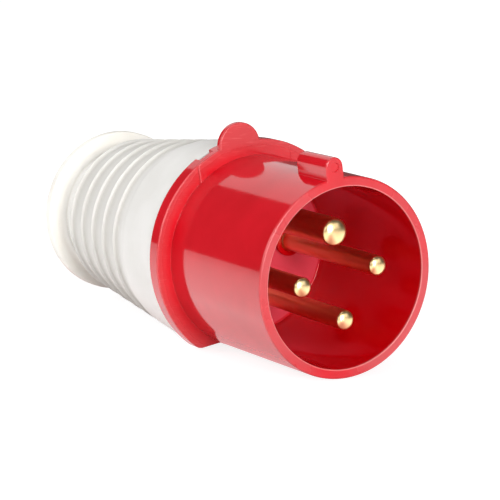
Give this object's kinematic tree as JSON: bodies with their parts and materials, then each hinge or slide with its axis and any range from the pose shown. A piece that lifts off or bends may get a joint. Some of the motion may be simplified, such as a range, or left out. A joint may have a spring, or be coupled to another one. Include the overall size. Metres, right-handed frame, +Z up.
{
  "type": "industrial pin and sleeve plug",
  "caption": "Straight cable plug for power: round sleeve with a key round earth and phase pins, flanged collar with an ear, ribbed handle and a screw-on cable gland nut.",
  "frame": {"origin": "on the plug's axis, in the plane of the collar's front face", "axes": "+X along the axis out of the sleeve, towards the mating connector; +Z up as the plug lies on a table, resting on its sleeve and on one corner of the collar's flat, with the key leaning a little to -Y"},
  "size_m": [0.1286, 0.0586, 0.0589],
  "materials": {
    "red_plastic": "glossy moulded polyamide",
    "black_plastic": "satin moulded insulator",
    "pin_brass": "turned and bright",
    "screw_steel": "zinc plated",
    "guard_steel": "stamped spring steel",
    "gasket_rubber": "soft moulded ring",
    "grey_plastic": "satin moulded polyamide",
    "seal_rubber": "soft moulded grommet",
    "claw_plastic": "satin moulded",
    "washer_plastic": "smooth moulded",
    "ivory_plastic": "satin moulded polyamide"
  },
  "bodies": {
    "plug": {"front_housing": "red_plastic", "contact_carrier": "black_plastic", "earth_pin": "pin_brass", "phase_pin_1": "pin_brass", "phase_pin_2": "pin_brass", "phase_pin_3": "pin_brass", "earth_terminal_screw": "screw_steel", "phase_terminal_screw_1": "screw_steel", "phase_terminal_screw_2": "screw_steel", "phase_terminal_screw_3": "screw_steel", "earth_wire_guard": "guard_steel", "phase_wire_guard_1": "guard_steel", "phase_wire_guard_2": "guard_steel", "phase_wire_guard_3": "guard_steel", "carrier_screw_1": "screw_steel", "carrier_screw_2": "screw_steel", "housing_gasket": "gasket_rubber", "handle": "grey_plastic", "locking_screw": "screw_steel", "gland_seal": "seal_rubber", "clamp_claws": "claw_plastic"},
    "washer": {"thrust_washer": "washer_plastic"},
    "nut": {"gland_nut": "ivory_plastic"}
  },
  "joints": [
    {"name": "washer_slide", "type": "slide", "parent": "plug", "child": "washer", "axis": [-1, 0, 0], "range_m": [0, 0.004]},
    {"name": "nut_turn", "type": "hinge", "parent": "washer", "child": "nut", "pos_m": [-0.08, 0, 0], "axis": [-1, 0, 0], "range_deg": [0, 720]}
  ],
  "couplings": [
    {"joint": "washer_slide", "follows": "nut_turn", "m_per_rad": 0.00031831}
  ]
}
